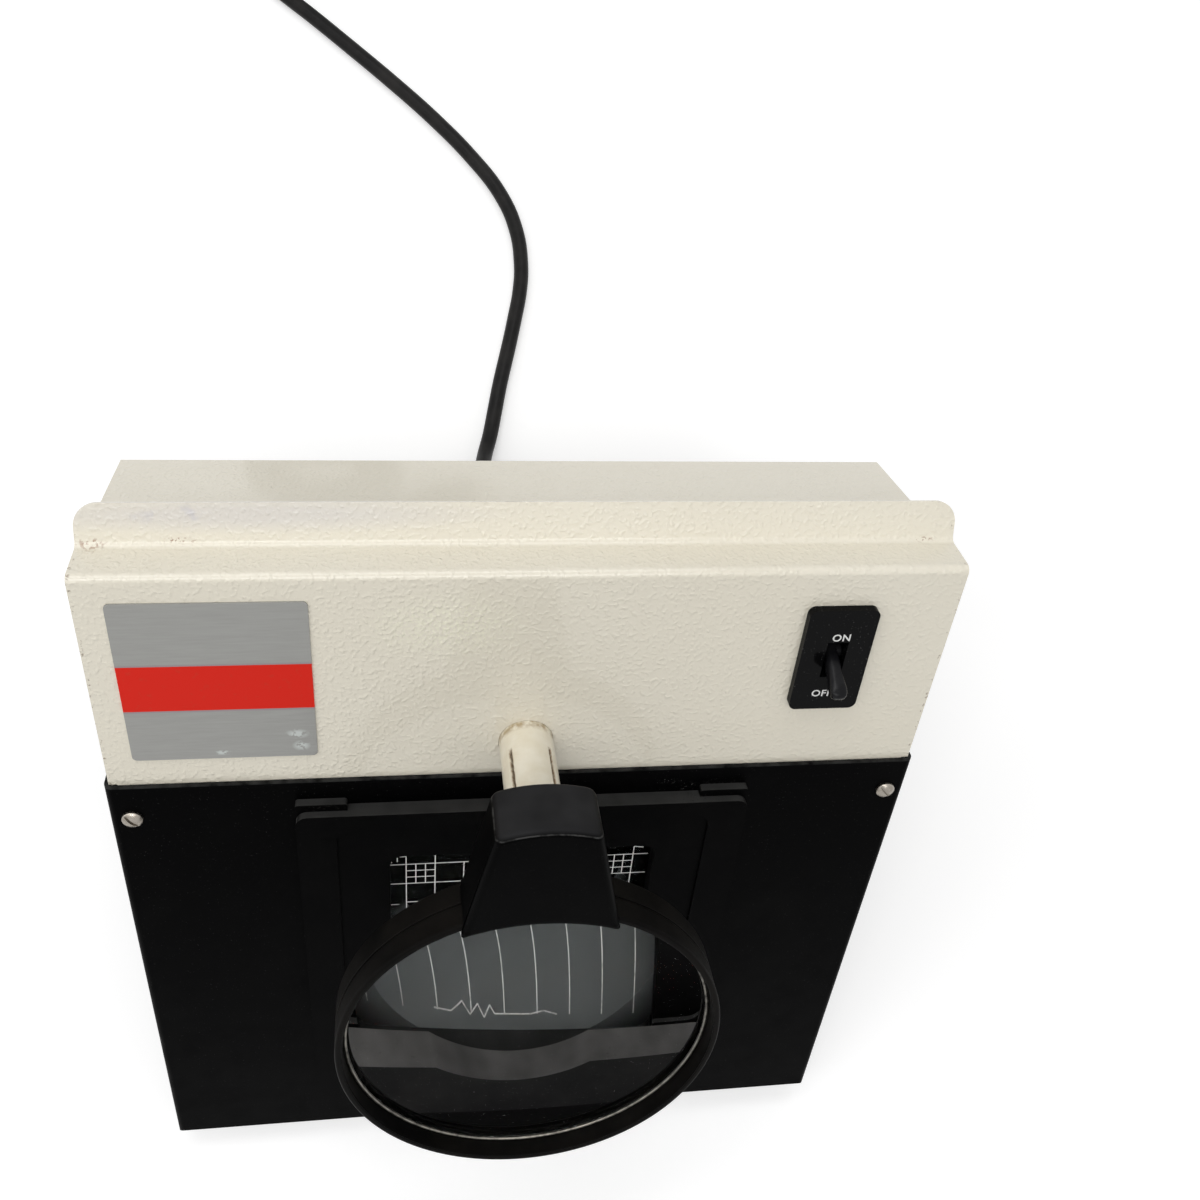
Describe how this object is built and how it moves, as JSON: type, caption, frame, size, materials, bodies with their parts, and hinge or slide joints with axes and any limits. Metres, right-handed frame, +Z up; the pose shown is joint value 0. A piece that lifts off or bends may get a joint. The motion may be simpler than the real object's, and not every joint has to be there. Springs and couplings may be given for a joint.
{
  "type": "colony counter",
  "caption": "Sloped bench colony counter with a lit ruled stage for culture dishes, a cream hood and a swinging magnifier on a split post.",
  "frame": {"origin": "on the resting surface, under the middle of the case", "axes": "+Z up, +Y from the sloping face towards the rear panel, +X to the right seen from the front"},
  "size_m": [0.2765, 0.6827, 0.2373],
  "materials": {
    "black_enamel": "semi-gloss stove enamel",
    "cream_enamel": "gloss stove enamel with a fine orange-peel",
    "white_enamel": "matt white enamel",
    "dull_black": "dead matt black",
    "plated_steel": "zinc plated",
    "bare_steel": "ground",
    "reflector_aluminium": "bright rolled",
    "nameplate_aluminium": "matt anodised with a painted band",
    "moulded_black": "matt moulded",
    "glossy_black": "glossy moulded",
    "insulator": "glazed",
    "retainer_wire": "aged",
    "lens_glass": "polished",
    "guide_glass": "polished, ruled",
    "bulb_glass": "frosted",
    "brass_cap": "stamped",
    "rubber": "moulded",
    "cord_rubber": "satin jacket",
    "lead_insulation": "satin"
  },
  "bodies": {
    "case": {"base_shell": "black_enamel", "bottom_plate": "black_enamel", "rear_panel": "black_enamel", "rubber_feet": "rubber", "foot_screws": "plated_steel", "foot_nuts": "plated_steel", "bottom_screws": "plated_steel", "hood_front": "cream_enamel", "rear_cover": "cream_enamel", "rear_screws": "plated_steel", "face_screws": "plated_steel", "face_nuts": "plated_steel", "nameplate": "nameplate_aluminium", "guide_plate": "guide_glass", "light_well": "white_enamel", "well_studs": "plated_steel", "well_nuts": "plated_steel", "dark_stop": "dull_black", "lamp_bracket": "plated_steel", "lamp_socket": "insulator", "bulb_cap": "brass_cap", "bulb_glass": "bulb_glass", "lamp_shield": "reflector_aluminium", "post_tube": "cream_enamel", "post_collar": "plated_steel", "switch_plate": "glossy_black", "switch_body": "glossy_black", "terminal_block": "insulator", "inner_leads": "lead_insulation", "strain_relief": "rubber", "cord_run": "cord_rubber", "cord_coil": "cord_rubber", "coil_tie": "rubber", "cord_tail": "cord_rubber", "plug_body": "rubber", "plug_pins": "brass_cap"},
    "stage": {"stage_plate": "moulded_black", "dish_rest": "moulded_black"},
    "lens_slide": {"arm_stem": "bare_steel"},
    "lens_holder": {"lens_arm": "moulded_black", "lens_ring": "moulded_black", "lens_bezel": "moulded_black", "lens_retainer": "retainer_wire", "lens": "lens_glass"},
    "switch": {"switch_lever": "glossy_black"}
  },
  "joints": [
    {"name": "lens_focus", "type": "slide", "parent": "case", "child": "lens_slide", "axis": [0, -0.766, 0.6428], "range_m": [-0.0035, 0.028]},
    {"name": "lens_swing", "type": "hinge", "parent": "lens_slide", "child": "lens_holder", "pos_m": [-0.0014, -0.02084, 0.21277], "axis": [0, -0.766, 0.6428], "continuous": true},
    {"name": "stage_lift", "type": "slide", "parent": "case", "child": "stage", "axis": [0, -0.766, 0.6428], "range_m": [0, 0.022]},
    {"name": "switch_flip", "type": "hinge", "parent": "case", "child": "switch", "pos_m": [0.0945, 0.04206, 0.20372], "axis": [-1, 0, 0], "range_deg": [0, 48]}
  ]
}
